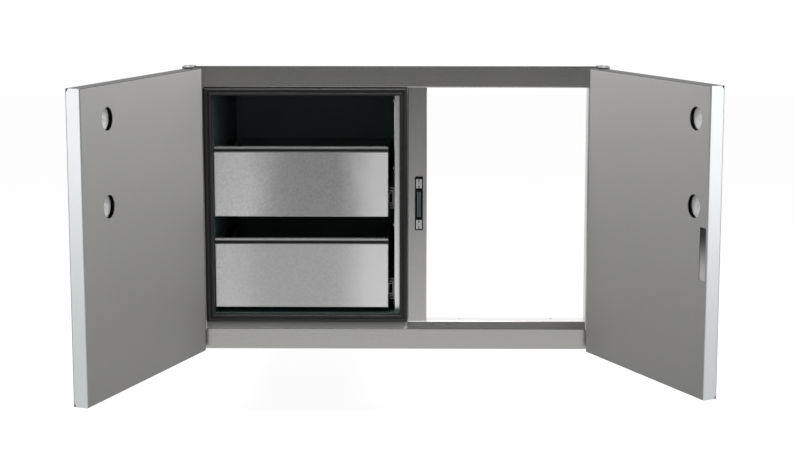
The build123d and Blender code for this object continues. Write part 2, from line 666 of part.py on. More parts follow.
def hinge_hardware():
    """Bracket plates on the frame's top and bottom lips, with their pivot pins and screws."""
    ends = ((FRAME_TOP, 1), (FRAME_BOTTOM, -1))
    plate_depth = -PIVOT_Y - FRAME_SHEET
    with BuildPart() as brackets:
        for lip_z, out in ends:
            with BuildSketch(Plane.XY.offset(lip_z)):
                for side in (-1, 1):
                    with Locations((side * PIVOT_X, PIVOT_Y)):
                        Circle(BRACKET_RADIUS)
                    with Locations((side * PIVOT_X, PIVOT_Y + plate_depth / 2)):
                        Rectangle(2 * BRACKET_RADIUS, plate_depth)
                    with Locations((side * PIVOT_X, PIVOT_Y)):
                        Circle(PIN_RADIUS + RUNNING_CLEARANCE, mode=Mode.SUBTRACT)
                    with Locations((side * PIVOT_X, FACE_Y / 2)):
                        with GridLocations(BRACKET_SCREW_SPACING, 0, 2, 1):
                            Circle(BRACKET_SCREW_RADIUS + RUNNING_CLEARANCE, mode=Mode.SUBTRACT)
            extrude(amount=out * BRACKET_THICKNESS)
    keep(brackets, "hinge_brackets")

    with BuildPart() as pins:
        shank = BRACKET_THICKNESS + DOOR_END_GAP + BUSH_LENGTH - BUSH_FLANGE
        for lip_z, out in ends:
            for side in (-1, 1):
                place = (side * PIVOT_X, PIVOT_Y, lip_z + out * BRACKET_THICKNESS)
                seat = Plane(origin=place, z_dir=(0, 0, out))
                headed_pin(seat, PIN_RADIUS, shank, PIN_HEAD_RADIUS, PIN_HEAD)
    keep(pins, "hinge_pins")

    with BuildPart() as screws:
        for lip_z, out in ends:
            for side in (-1, 1):
                for step in (-1, 1):
                    x = side * PIVOT_X + step * BRACKET_SCREW_SPACING / 2
                    place = (x, FACE_Y / 2, lip_z + out * BRACKET_THICKNESS)
                    seat = Plane(origin=place, z_dir=(0, 0, out))
                    length = BRACKET_SCREW_LENGTH
                    headed_pin(seat, BRACKET_SCREW_RADIUS, length, SCREW_HEAD_RADIUS, SCREW_HEAD)
    keep(screws, "hinge_bracket_screws")


def door_bumpers():
    """Rubber buttons on the side stiles that meet the closed doors."""
    with BuildPart() as bumpers:
        for side in (-1, 1):
            for z in (FRAME_BOTTOM + BUMPER_END, FRAME_TOP - BUMPER_END):
                place = (side * (OPENING_HALF + BUMPER_INSET), FACE_Y, z)
                with BuildSketch(Plane(origin=place, z_dir=(0, -1, 0))):
                    Circle(BUMPER_RADIUS)
                extrude(amount=DOOR_GAP - SEAL_CLEARANCE)
        rims = bumpers.edges().filter_by(GeomType.CIRCLE).group_by(Axis.Y)[0]
        fillet(rims, radius=BUMPER_ROUND)
    keep(bumpers, "door_bumpers")


def door_frame(side, angle):
    """Plane at the foot of a door's pivot: x towards the free edge, z up. Thickness runs along side * y."""
    swing = radians(angle)
    origin = (side * PIVOT_X, PIVOT_Y, DOOR_BOTTOM)
    return Plane(origin=origin, x_dir=(-side * cos(swing), -sin(swing), 0), z_dir=(0, 0, 1))


def door_face(side, angle, v):
    """Plane parallel to a door's faces at thickness v: x towards the free edge, y up."""
    foot = door_frame(side, angle)
    normal = foot.x_dir.cross(Vector(0, 0, 1))
    return Plane(origin=foot.origin, x_dir=foot.x_dir, z_dir=normal).offset(-side * v)


def door(name, side, width, angle, hole_inset, slot):
    """One door: inner pan, outer skin, pivot blocks and bushes, handle with its spacers, stiffener."""
    foot = door_frame(side, angle)
    across = Axis(foot.origin, foot.y_dir * side)
    free_u = width - PIVOT_INSET
    mid_u = width / 2 - PIVOT_INSET
    hole_u = free_u - hole_inset
    hole_places = [(hole_u, w) for w in HOLE_HEIGHTS]
    inside_v = INNER_V + DOOR_SHEET
    inside_depth = SKIN_V - inside_v
    pan_depth = SKIN_V - INNER_V
    bush_hole = BUSH_RADIUS + RUNNING_CLEARANCE
    ends = ((0, -1), (DOOR_HEIGHT, 1))
    strike_place = (PIVOT_X - CATCH_X + SLOT_SHIFT, SLOT_Z - DOOR_BOTTOM)
    slot_size = (SLOT_WIDTH, SLOT_HEIGHT)

    with BuildPart(foot) as pan:
        with Locations((mid_u, side * (INNER_V + pan_depth / 2), DOOR_HEIGHT / 2)):
            Box(width, pan_depth, DOOR_HEIGHT)
        fillet(pan.faces().sort_by(across)[0].edges(), radius=DOOR_BEND)
        with Locations((mid_u, side * (inside_v + inside_depth / 2), DOOR_HEIGHT / 2)):
            Box(width - 2 * DOOR_SHEET, inside_depth, DOOR_HEIGHT - 2 * DOOR_SHEET, mode=Mode.SUBTRACT)
        with Locations((0, 0, DOOR_HEIGHT / 2)):
            Cylinder(bush_hole, DOOR_HEIGHT, mode=Mode.SUBTRACT)
        with BuildSketch(door_face(side, angle, INNER_V)):
            with Locations(*hole_places):
                Ellipse(HOLE_WIDTH / 2, HOLE_HEIGHT / 2)
            if slot:
                with Locations(strike_place):
                    RectangleRounded(*slot_size, SLOT_ROUND)
        extrude(amount=DOOR_SHEET * 2, both=True, mode=Mode.SUBTRACT)
        # Bend relief at the outer corners of the free edge
        free_end = foot.origin + foot.x_dir * free_u
        for w, out in ends:
            with BuildSketch(Plane(origin=free_end, x_dir=foot.y_dir, z_dir=foot.x_dir)):
                with BuildLine():
                    Polyline(
                        (side * SKIN_V, w),
                        (side * (SKIN_V - CORNER_RELIEF), w),
                        (side * SKIN_V, w - out * CORNER_RELIEF_HEIGHT),
                        close=True,
                    )
                make_face()
            extrude(amount=-2 * DOOR_SHEET, mode=Mode.SUBTRACT)
    keep(pan, f"{name}_inner_pan")

    with BuildPart(foot) as skin:
        with Locations((mid_u, side * (SKIN_V + DOOR_SKIN / 2), DOOR_HEIGHT / 2)):
            Box(width, DOOR_SKIN, DOOR_HEIGHT)
        fillet(skin.faces().sort_by(across)[-1].edges(), radius=SKIN_ROUND)
        with BuildSketch(door_face(side, angle, SKIN_V)):
            with Locations(*hole_places):
                Circle(HANDLE_SCREW_RADIUS + RUNNING_CLEARANCE)
        extrude(amount=DOOR_SKIN * 2, both=True, mode=Mode.SUBTRACT)
    keep(skin, f"{name}_outer_skin")

    with BuildPart(foot) as blocks:
        block_u = -PIVOT_INSET + DOOR_SHEET + HINGE_BLOCK_WIDTH / 2
        for w, out in ends:
            block_w = w - out * (DOOR_SHEET + HINGE_BLOCK_HEIGHT / 2)
            with Locations((block_u, side * (inside_v + inside_depth / 2), block_w)):
                Box(HINGE_BLOCK_WIDTH, inside_depth, HINGE_BLOCK_HEIGHT)
        with Locations((0, 0, DOOR_HEIGHT / 2)):
            Cylinder(bush_hole, DOOR_HEIGHT, mode=Mode.SUBTRACT)
    keep(blocks, f"{name}_hinge_blocks")

    with BuildPart(foot) as bushes:
        for w, out in ends:
            with Locations((0, 0, w + out * BUSH_FLANGE / 2)):
                Cylinder(BUSH_FLANGE_RADIUS, BUSH_FLANGE)
            with Locations((0, 0, w - out * BUSH_LENGTH / 2)):
                Cylinder(BUSH_RADIUS, BUSH_LENGTH)
        with Locations((0, 0, DOOR_HEIGHT / 2)):
            Cylinder(PIN_RADIUS + RUNNING_CLEARANCE, DOOR_HEIGHT + 2 * BUSH_LENGTH, mode=Mode.SUBTRACT)
    keep(bushes, f"{name}_bushes")

    spacer_length = inside_depth - SPACER_SETBACK
    with BuildPart() as spacers:
        with BuildSketch(door_face(side, angle, SKIN_V)):
            with Locations(*hole_places):
                Ellipse(HOLE_WIDTH / 2, HOLE_HEIGHT / 2)
                Circle(HANDLE_SCREW_RADIUS + RUNNING_CLEARANCE, mode=Mode.SUBTRACT)
        extrude(amount=side * spacer_length)
    keep(spacers, f"{name}_handle_spacers")

    bar_v = OUTER_V + HANDLE_PROJECTION - HANDLE_BAR / 2
    post_length = HANDLE_PROJECTION - HANDLE_BAR
    bar_length = HANDLE_SPACING + 2 * HANDLE_OVERHANG
    with BuildPart(foot) as handle:
        with Locations((hole_u, side * bar_v, sum(HOLE_HEIGHTS) / 2)):
            Box(HANDLE_BAR, HANDLE_BAR, bar_length)
        fillet(handle.edges(), radius=HANDLE_ROUND)
        with BuildSketch(door_face(side, angle, OUTER_V)):
            with Locations(*hole_places):
                Circle(POST_RADIUS)
        extrude(amount=-side * (post_length + HANDLE_BAR / 2))
        with BuildSketch(door_face(side, angle, OUTER_V)):
            with Locations(*hole_places):
                Circle(HANDLE_SCREW_RADIUS + RUNNING_CLEARANCE)
        extrude(amount=-side * HANDLE_SCREW_BITE, mode=Mode.SUBTRACT)
    keep(handle, f"{name}_handle")

    with BuildPart() as screws:
        head_face = door_face(side, angle, SKIN_V - spacer_length)
        for u, w in hole_places:
            place = head_face.from_local_coords((u, w, 0))
            inward = foot.y_dir * -side
            seat = Plane(origin=place, z_dir=inward)
            shank = spacer_length + DOOR_SKIN + HANDLE_SCREW_BITE - RUNNING_CLEARANCE
            headed_pin(seat, HANDLE_SCREW_RADIUS, shank, HANDLE_SCREW_HEAD_RADIUS, SCREW_HEAD)
    keep(screws, f"{name}_handle_screws")

    channel = [
        (mid_u - STIFFENER_WIDTH / 2, side * inside_v),
        (mid_u - STIFFENER_WIDTH / 2, side * SKIN_V),
        (mid_u + STIFFENER_WIDTH / 2, side * SKIN_V),
        (mid_u + STIFFENER_WIDTH / 2, side * inside_v),
    ]
    section = bent_section(foot.offset(STIFFENER_END), channel, DOOR_SHEET, DOOR_BEND)
    with BuildPart() as stiffener:
        extrude(section, amount=DOOR_HEIGHT - 2 * STIFFENER_END)
    keep(stiffener, f"{name}_stiffener")

    if slot:
        with BuildPart() as strike:
            with BuildSketch(door_face(side, angle, inside_v)):
                with Locations(strike_place):
                    Rectangle(*[size + 2 * STRIKE_MARGIN for size in slot_size])
            extrude(amount=-side * STRIKE_THICKNESS)
        keep(strike, f"{name}_strike_plate")


def channel_section(plane_y, wall_x, step, web, tip, half_height, middle_z):
    """Section of one slide member: a channel whose web lies at one t and whose flanges end at the other."""
    inner_web = web + SLIDE_SHEET if tip > web else web - SLIDE_SHEET
    with BuildSketch(Plane.XZ.offset(-plane_y)) as section:
        with BuildLine():
            corners = [
                (web, half_height),
                (tip, half_height),
                (tip, half_height - SLIDE_SHEET),
                (inner_web, half_height - SLIDE_SHEET),
                (inner_web, SLIDE_SHEET - half_height),
                (tip, SLIDE_SHEET - half_height),
                (tip, -half_height),
                (web, -half_height),
            ]
            Polyline(*[(wall_x + step * t, middle_z + z) for t, z in corners], close=True)
        make_face()
    return section.sketch


def drawer_slides(level, middle_z):
    """The pair of three-member slides of one drawer, with ball cages between the members."""
    members = {
        "outer": (0, OUTER_TIP, OUTER_HALF),
        "middle": (MIDDLE_WEB, MIDDLE_TIP, MIDDLE_HALF),
        "inner": (SLIDE_THICKNESS, INNER_TIP, INNER_HALF),
    }
    for member, (web, tip, half_height) in members.items():
        with BuildPart() as pair:
            for wall_x, step in SLIDE_SIDES.values():
                section = channel_section(SLIDE_Y, wall_x, step, web, tip, half_height, middle_z)
                extrude(section, amount=-SLIDE_LENGTH)
            if member != "middle":
                for wall_x, step in SLIDE_SIDES.values():
                    with BuildSketch(Plane.YZ.offset(wall_x + step * web)):
                        with Locations(*[(y, middle_z) for y in SLIDE_SCREWS_Y]):
                            Circle(SLIDE_SCREW_RADIUS + RUNNING_CLEARANCE)
                    extrude(amount=SLIDE_SHEET * 2, both=True, mode=Mode.SUBTRACT)
        keep(pair, f"{level}_slide_{member}_members")

    # Outer cages ride at the rear of the middle member, inner cages at its front
    cage_height = RACE_GAP - CAGE_CLEARANCE
    outer_t = (MIDDLE_WEB + OUTER_TIP) / 2
    inner_t = (INNER_TIP + MIDDLE_TIP) / 2
    rear_y = SLIDE_Y + SLIDE_LENGTH - CAGE_END - CAGE_LENGTH / 2
    front_y = SLIDE_Y + CAGE_END + CAGE_LENGTH / 2
    races = (
        (outer_t, rear_y, MIDDLE_HALF + cage_height / 2),
        (inner_t, front_y, MIDDLE_HALF - SLIDE_SHEET - cage_height / 2),
    )
    with BuildPart() as cages:
        for wall_x, step in SLIDE_SIDES.values():
            for t, y, z in races:
                with Locations((wall_x + step * t, y, middle_z + z), (wall_x + step * t, y, middle_z - z)):
                    Box(CAGE_WIDTH, CAGE_LENGTH, cage_height)
    keep(cages, f"{level}_slide_ball_cages")

    for side_name, (wall_x, step) in SLIDE_SIDES.items():
        lever_t = SLIDE_THICKNESS - SLIDE_SHEET - LEVER_CLEARANCE - LEVER_DEPTH / 2
        lever_x = wall_x + step * lever_t
        lever_z = middle_z - LEVER_DROP
        with BuildPart() as lever:
            with Locations((lever_x, LEVER_PIVOT_Y - LEVER_LENGTH / 2, lever_z)):
                Box(LEVER_DEPTH, LEVER_LENGTH, LEVER_HEIGHT)
            with BuildSketch(Plane.YZ.offset(lever_x)):
                with Locations((LEVER_PIVOT_Y, lever_z)):
                    Circle(LEVER_EYE_RADIUS)
            extrude(amount=LEVER_DEPTH / 2, both=True)
            with BuildSketch(Plane.YZ.offset(lever_x)):
                with Locations((LEVER_PIVOT_Y, lever_z)):
                    Circle(LEVER_PIN_RADIUS + RUNNING_CLEARANCE)
            extrude(amount=LEVER_DEPTH, both=True, mode=Mode.SUBTRACT)
        keep(lever, f"{level}_{side_name}_slide_lever")


def drawer(level, bottom_z):
    """One drawer: folded tray with a pull lip, front panel, screws and lever pins of its slide members."""
    top_z = bottom_z + FRONT_HEIGHT
    slide_z = bottom_z + SLIDE_RISE
    tray_mid_y = TRAY_Y + TRAY_LENGTH / 2
    floor_align = (Align.CENTER, Align.CENTER, Align.MIN)
    back_align = (Align.CENTER, Align.MIN, Align.MAX)
    inner_width = TRAY_WIDTH - 2 * TRAY_SHEET
    inner_length = TRAY_LENGTH - 2 * TRAY_SHEET
    with BuildPart() as tray:
        with Locations((TRAY_MID, tray_mid_y, bottom_z)):
            Box(TRAY_WIDTH, TRAY_LENGTH, TRAY_SIDE_HEIGHT, align=floor_align)
        with Locations((TRAY_MID, tray_mid_y, bottom_z + TRAY_SHEET)):
            Box(
                inner_width,
                inner_length,
                TRAY_SIDE_HEIGHT - 2 * TRAY_SHEET,
                align=floor_align,
                mode=Mode.SUBTRACT,
            )
            Box(
                inner_width - 2 * TRAY_HEM,
                inner_length - 2 * TRAY_HEM,
                TRAY_SIDE_HEIGHT,
                align=floor_align,
                mode=Mode.SUBTRACT,
            )
        with Locations((FRONT_MID, TRAY_Y, top_z)):
            Box(FRONT_WIDTH, TRAY_SHEET, FRONT_HEIGHT, align=back_align)
        with Locations((FRONT_MID, FRONT_Y, top_z)):
            Box(FRONT_WIDTH, FRONT_DEPTH + TRAY_SHEET, TRAY_SHEET, align=back_align)
            Box(FRONT_WIDTH, TRAY_SHEET, LIP_HEIGHT, align=back_align)
        with BuildSketch(Plane.YZ):
            with Locations(*[(y, slide_z) for y in SLIDE_SCREWS_Y]):
                Circle(SLIDE_SCREW_RADIUS + RUNNING_CLEARANCE)
        extrude(amount=FRAME_WIDTH, both=True, mode=Mode.SUBTRACT)
    keep(tray, f"{level}_drawer_tray")

    panel_height = FRONT_HEIGHT - LIP_HEIGHT - LIP_GROOVE
    with BuildPart() as panel:
        with Locations((FRONT_MID, FRONT_Y + FRONT_DEPTH / 2, bottom_z)):
            Box(FRONT_WIDTH, FRONT_DEPTH, panel_height, align=floor_align)
        fillet(panel.faces().sort_by(Axis.Y)[0].edges(), radius=FRONT_BEND)
        with Locations((FRONT_MID, FRONT_Y + FRONT_DEPTH / 2 + TRAY_SHEET, bottom_z + TRAY_SHEET)):
            Box(
                FRONT_WIDTH - 2 * TRAY_SHEET,
                FRONT_DEPTH,
                panel_height - 2 * TRAY_SHEET,
                align=floor_align,
                mode=Mode.SUBTRACT,
            )
    keep(panel, f"{level}_drawer_front")

    with BuildPart() as screws:
        for wall_x, step in SLIDE_SIDES.values():
            web_x = wall_x + step * (SLIDE_THICKNESS - SLIDE_SHEET)
            for y in SLIDE_SCREWS_Y:
                seat = Plane(origin=(web_x, y, slide_z), z_dir=(-step, 0, 0))
                shank = SLIDE_SHEET + 2 * TRAY_SHEET
                headed_pin(seat, SLIDE_SCREW_RADIUS, shank, SCREW_HEAD_RADIUS, SLIDE_SCREW_HEAD)
            pin_seat = Plane(origin=(web_x, LEVER_PIVOT_Y, slide_z - LEVER_DROP), z_dir=(-step, 0, 0))
            with BuildSketch(pin_seat):
                Circle(LEVER_PIN_RADIUS)
            extrude(amount=LEVER_CLEARANCE + LEVER_DEPTH)
    keep(screws, f"{level}_drawer_screws")


def slide_screws():
    """Screws that hold the outer slide members to the pantry wall and to the posts."""
    with BuildPart() as screws:
        for bottom_z in DRAWERS.values():
            for wall_x, step in SLIDE_SIDES.values():
                for y in SLIDE_SCREWS_Y:
                    place = (wall_x + step * SLIDE_SHEET, y, bottom_z + SLIDE_RISE)
                    seat = Plane(origin=place, z_dir=(step, 0, 0))
                    shank = SLIDE_SHEET + 2 * LINER_SHEET
                    headed_pin(seat, SLIDE_SCREW_RADIUS, shank, SCREW_HEAD_RADIUS, SLIDE_SCREW_HEAD)
    keep(screws, "slide_screws")


os.makedirs("parts", exist_ok=True)
face_frame()
centre_stile()
pantry_liner()
pantry_gasket()
slide_posts()
liner_rivets()
magnetic_catch()
hinge_hardware()
door_bumpers()
door("left_door", -1, LEFT_DOOR_WIDTH, LEFT_OPEN_ANGLE, LEFT_HOLE_INSET, slot=False)
door("right_door", 1, RIGHT_DOOR_WIDTH, RIGHT_OPEN_ANGLE, RIGHT_HOLE_INSET, slot=True)
for level_name, drawer_z in DRAWERS.items():
    drawer_slides(level_name, drawer_z + SLIDE_RISE)
    drawer(level_name, drawer_z)
slide_screws()
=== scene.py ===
import json
from math import cos, radians, sin

import bpy
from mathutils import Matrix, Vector


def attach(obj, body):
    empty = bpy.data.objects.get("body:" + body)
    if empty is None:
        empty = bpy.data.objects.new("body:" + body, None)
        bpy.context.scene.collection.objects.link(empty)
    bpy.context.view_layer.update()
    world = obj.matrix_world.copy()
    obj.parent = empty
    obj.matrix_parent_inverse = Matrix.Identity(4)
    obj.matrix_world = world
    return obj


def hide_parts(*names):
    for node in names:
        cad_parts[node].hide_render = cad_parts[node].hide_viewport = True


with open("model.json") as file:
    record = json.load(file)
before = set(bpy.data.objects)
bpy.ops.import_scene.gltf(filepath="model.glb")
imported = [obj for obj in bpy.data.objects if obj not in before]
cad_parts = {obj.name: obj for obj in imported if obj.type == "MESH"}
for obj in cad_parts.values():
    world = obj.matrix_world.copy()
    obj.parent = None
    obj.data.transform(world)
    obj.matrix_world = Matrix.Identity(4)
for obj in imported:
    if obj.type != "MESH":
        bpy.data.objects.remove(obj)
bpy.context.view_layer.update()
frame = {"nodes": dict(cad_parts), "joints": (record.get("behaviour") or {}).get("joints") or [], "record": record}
bpy.ops.object.select_all(action="DESELECT")
BODIES = frame["record"]["behaviour"]["bodies"]
SLOTS = {row["node"]: row["material_slot"] for row in frame["record"]["subparts"]}

# Camera: place in metres, turn in degrees
CAMERA_PLACE = (0.0428, -3.6838, 0.9233)
CAMERA_PITCH = 8.303
CAMERA_YAW = 0.628
CAMERA_LENS = 78.02
CAMERA_SHIFT = -0.08

# Stage
FLOOR_LEVEL = -0.16
FLOOR_SIZE = 14.0

# Light of the floor and the surroundings, and where along Y the part that the metal mirrors changes
FLOOR_GREY = 0.2
FLOOR_GLOW = 0.9
FLOOR_FRONT_Y = (-6.0, -0.9)
FLOOR_REAR_Y = (-0.3, 0.4)
WORLD_FILL = 0.38
WORLD_FRONT = 0.1
WORLD_REAR = 0.9
WORLD_TURN_Y = (-0.35, 0.15)

# Rounding of the sheet edges and of the small parts
EDGE_ROUND = 0.0003
EDGE_ANGLE = 35.0
SMOOTH_ANGLE = 30.0
WELD_GAP = 0.000001

# Least part of a normal along a direction for a face that looks that way
FACING = 0.9

# Fasteners: recesses and rounds as shares of the head's radius, its height or the shank's radius
SOCKET_SHARE = 0.42
DIMPLE_SHARE = 0.3
BLADE_SHARE = 0.26
CROSS_SHARE = 0.45
SLOT_SHARE = 1.2
RECESS_SHARE = 1.2
DOME_SHARE = 0.65
DOME_LIMIT = 0.5
TIP_SHARE = 0.3
HEAD_SHARE = 0.97

# Slide cage: its sheet, rim and sunk middle, and its row of balls
CAGE_SHEET = 0.0009
CAGE_RIM_SHARE = 0.15
CAGE_SINK_SHARE = 0.3
BALL_COUNT = 12
BALL_PITCH = 0.012
BALL_RADIUS = 0.0019

# Hem of a drawer tray, and a depth that lies behind its front
HEM_WIDTH = 0.0092
HEM_BLUR = 0.001
TRAY_MIDDLE = 0.2

# Places on the part where a finish, a painted shade or a painted highlight changes, from and to, in metres
UPPER_FRAME_Z = (0.3, 0.4)
STILE_EDGE_X = (0.0249, 0.0251)
DRAWER_PAINTED_SHEEN_X = (-0.13, -0.03)
PULL_LIP_Y = (-0.004, 0.003)
STRIKE_SHADE_Z = (0.235, 0.325)
LUG_GROOVE_SHADE_Y = (-0.0189, -0.0181)
PAN_SHADE_Z = (-0.5, 1.1)
SKIN_SHADE_Z = (-0.3, 0.9)

# Distances in from a door's free edge where its bend, which carries a painted bluish line, and its folded edge
# begin and end
DOOR_BEND = (0.0027, 0.0019)
DOOR_EDGE = (0.0012, 0.0003)

# Brushed grain: waves per metre along and across it, and the axes that it runs across
GRAIN_ALONG = 30.0
GRAIN_ACROSS = 3000.0
ACROSS = {"x": (0.0, 1.0, 1.0), "y": (1.0, 0.0, 1.0), "z": (1.0, 1.0, 0.0)}

# Depth of the relief of a brushed or rolled surface
GRAIN_DEPTH = 0.00004

# Drawer fronts: waves per metre of their mottle, half the width of their painted dark reflection patch, and for
# each front the plain tone, the tone of the painted patch, where along X the painted patch lies, and how strong
# the mottle is
MOTTLE_WAVES = 260.0
PAINTED_PATCH_REACH = 0.167
DRAWER_TONES = {"upper": (0.88, 0.43, -0.165, 0.08), "lower": (0.82, 0.60, -0.207, 0.055)}

# Soft lights: name, place, target, size in metres and power in watts
SOFT_BOXES = (
    ("overhead_box", (0.0, -0.2, 1.75), (0.0, -0.25, 0.4), (2.2, 0.9), 42.0),
    ("left_box", (-2.6, -1.85, 0.85), (-0.6, -0.4, 0.4), (1.2, 1.9), 13.0),
    ("right_box", (2.6, -1.4, 0.85), (0.6, -0.4, 0.4), (1.2, 1.9), 13.0),
)

# Tints of the greys
WARM = (1.0, 0.99, 0.97)
COOL = (0.97, 0.99, 1.0)
PLAIN = (1.0, 1.0, 1.0)
TEAL = (0.72, 1.0, 1.0)
BLUISH = (0.86, 0.96, 1.0)


class Wire:
    """An output of a node tree. Arithmetic on it adds Math nodes, and node() adds any other node."""

    def __init__(self, tree, socket=None):
        self.tree = tree
        self.socket = socket

    def node(self, kind, settings=None, sockets=None, out=0):
        made = self.tree.nodes.new(kind)
        for name, value in (settings or {}).items():
            setattr(made, name, value)
        for name, value in (sockets or {}).items():
            if isinstance(value, Wire):
                self.tree.links.new(value.socket, made.inputs[name])
            else:
                made.inputs[name].default_value = value
        return Wire(self.tree, made.outputs[out]) if made.outputs else made

    def math(self, operation, first, second):
        return self.node("ShaderNodeMath", {"operation": operation}, {0: first, 1: second})

    def __add__(self, other):
        return self.math("ADD", self, other)

    def __sub__(self, other):
        return self.math("SUBTRACT", self, other)

    def __mul__(self, other):
        return self.math("MULTIPLY", self, other)

    def __radd__(self, other):
        return self.math("ADD", other, self)

    def __rsub__(self, other):
        return self.math("SUBTRACT", other, self)

    def __rmul__(self, other):
        return self.math("MULTIPLY", other, self)

    def between(self, low, high):
        """0 below low, 1 above high, smooth in between."""
        settings = {"interpolation_type": "SMOOTHSTEP"}
        return self.node("ShaderNodeMapRange", settings, {"Value": self, "From Min": low, "From Max": high})

    def mix(self, first, second):
        """Colour that runs from first to second as this value runs from 0 to 1."""
        sockets = {"Factor": self, 6: first, 7: second}
        return self.node("ShaderNodeMix", {"data_type": "RGBA"}, sockets, out=2)

    def times(self, colour):
        """Product of this colour and another."""
        settings = {"data_type": "RGBA", "blend_type": "MULTIPLY"}
        return self.node("ShaderNodeMix", settings, {"Factor": 1.0, 6: self, 7: colour}, out=2)


def rgb(value, tint=PLAIN):
    """Linear colour of a grey value with a tint."""
    return tuple(value * part for part in tint) + (1.0,)


def new_material(name):
    """An empty material, its tree and its Principled shader."""
    material = bpy.data.materials.new(name)
    material.use_nodes = True
    return material, Wire(material.node_tree), material.node_tree.nodes["Principled BSDF"]


def join(wire, shader, socket):
    wire.tree.links.new(wire.socket, shader.inputs[socket])


def place_part(tree, axis):
    """One coordinate of the place on the piece."""
    place = tree.node("ShaderNodeTexCoord", out="Object")
    return tree.node("ShaderNodeSeparateXYZ", None, {0: place}, out=axis)


def normal_part(tree, axis):
    """One coordinate of the face's direction."""
    normal = tree.node("ShaderNodeNewGeometry", out="True Normal")
    return tree.node("ShaderNodeSeparateXYZ", None, {0: normal}, out=axis)


def reach_along(tree, origin, direction):
    """Distance of the place on the piece from a point, along a direction."""
    place = tree.node("ShaderNodeTexCoord", out="Object")
    arm = tree.node("ShaderNodeVectorMath", {"operation": "SUBTRACT"}, {0: place, 1: origin})
    return tree.node("ShaderNodeVectorMath", {"operation": "DOT_PRODUCT"}, {0: arm, 1: direction}, out="Value")


def place_noise(tree, scale, detail=2.0):
    """Noise on object coordinates, with its own waves per metre along each axis."""
    place = tree.node("ShaderNodeTexCoord", out="Object")
    stretched = tree.node("ShaderNodeMapping", None, {"Vector": place, "Scale": scale})
    return tree.node("ShaderNodeTexNoise", None, {"Vector": stretched, "Scale": 1.0, "Detail": detail})


def add_bump(tree, shader, height, strength, distance):
    """Surface relief from a height."""
    sockets = {"Strength": strength, "Distance": distance, "Height": height}
    join(tree.node("ShaderNodeBump", None, sockets), shader, "Normal")


def scratches(tree, grain):
    """Fine brushed lines along an axis, their tone, and a slow drift."""
    fine = place_noise(tree, [GRAIN_ALONG + GRAIN_ACROSS * part for part in ACROSS[grain]], detail=3.0)
    drift = place_noise(tree, (5.0, 5.0, 5.0))
    return fine, (fine * 0.6 + drift * 0.4).between(0.3, 0.7), drift


def brushed_steel(name, value, tint, grain, roughness):
    """Satin stainless sheet with scratches along one axis."""
    material, tree, shader = new_material(name)
    fine, tone, drift = scratches(tree, grain)
    join(tone.mix(rgb(value * 0.95, tint), rgb(value * 1.05, tint)), shader, "Base Color")
    join(roughness + (fine - 0.5) * 0.12 + (drift - 0.5) * 0.08, shader, "Roughness")
    shader.inputs["Metallic"].default_value = 1.0
    add_bump(tree, shader, fine, 0.12, GRAIN_DEPTH)
    return material


def frame_satin(name, value, grain):
    """Satin stainless of the face frame, with painted light and shade: upward-sloping faces of the upper frame
    painted near-black, sloped faces low down painted darker, the sloped sill under the seal duller and painted
    lighter, and the flat sleeve floor painted near-white.
    """
    material, tree, shader = new_material(name)
    fine, tone, drift = scratches(tree, grain)
    upward = normal_part(tree, "Z")
    high = place_part(tree, "Z").between(*UPPER_FRAME_Z)
    flat = upward.between(0.6, 0.9)
    # Painted shade: in the upper frame the upward-sloping faces are painted near-black and matte.
    lip = upward.between(0.1, 0.5) * high
    # Painted light: the flat floor of the lower sleeve is painted near-white.
    sleeve_painted_light = flat * (1.0 - high)
    # Painted shade: the sloped faces low down are painted darker. On the pantry side, under the seal, they are
    # duller and painted lighter instead, as painted light against the seal's shade.
    ledge_painted_shade = (upward.between(0.35, 0.5) - flat) * (1.0 - high)
    sill_dull_and_painted_light = ledge_painted_shade * (1.0 - place_part(tree, "X").between(*STILE_EDGE_X))
    face = tone.mix(rgb(value * 0.97, WARM), rgb(value * 1.03, WARM))
    sloped = sill_dull_and_painted_light.mix(ledge_painted_shade.mix(face, rgb(value * 0.8, WARM)), rgb(value * 1.25, WARM))
    join(lip.mix(sleeve_painted_light.mix(sloped, rgb(0.9, WARM)), rgb(0.05)), shader, "Base Color")
    join(0.28 + (fine - 0.5) * 0.05 + (drift - 0.5) * 0.05 + sill_dull_and_painted_light * 0.2 + lip * 0.6, shader, "Roughness")
    join(1.0 - sill_dull_and_painted_light * 0.85 - lip, shader, "Metallic")
    shader.inputs["Specular IOR Level"].default_value = 0.0
    add_bump(tree, shader, fine, 0.02, GRAIN_DEPTH)
    return material


def free_edge(tree, leaf):
    """Masks of a door's outermost bend and of the folded edge beyond it."""
    hinge, along, reach = leaf
    distance = reach_along(tree, hinge, along)
    return [distance.between(reach - start, reach - end) for start, end in (DOOR_BEND, DOOR_EDGE)]


def pan_satin(name, leaf):
    """Bead-blasted inner pan of a door: soft grey face painted lighter towards the top as painted light, a bluish
    painted highlight along the bend by the free edge, a smoother, more metallic folded free edge painted bright as
    a painted highlight, and upward folds painted near-black as painted shade.
    """
    material, tree, shader = new_material(name)
    fine, tone, drift = scratches(tree, "z")
    bend_painted_light, edge = free_edge(tree, leaf)
    painted_dark_top = normal_part(tree, "Z").between(0.08, 0.6)
    # Painted light: the face is painted darker at the bottom and lighter at the top.
    height = place_part(tree, "Z").between(*PAN_SHADE_Z)
    face = (tone * 0.06 + height * 0.94).mix(rgb(0.25, WARM), rgb(0.51, WARM))
    # Painted highlight: a bluish line along the bend, and a bright folded free edge, which is also smoother and
    # more metallic.
    edged = edge.mix(bend_painted_light.mix(face, rgb(0.42, BLUISH)), rgb(0.74, COOL))
    # Painted shade: faces that look upward are painted near-black.
    join(painted_dark_top.mix(edged, rgb(0.06)), shader, "Base Color")
    join(0.56 + (fine - 0.5) * 0.1 + (drift - 0.5) * 0.06 - edge * 0.2, shader, "Roughness")
    join(0.15 + edge * 0.75, shader, "Metallic")
    shader.inputs["Specular IOR Level"].default_value = 0.2
    add_bump(tree, shader, fine, 0.08, GRAIN_DEPTH)
    return material


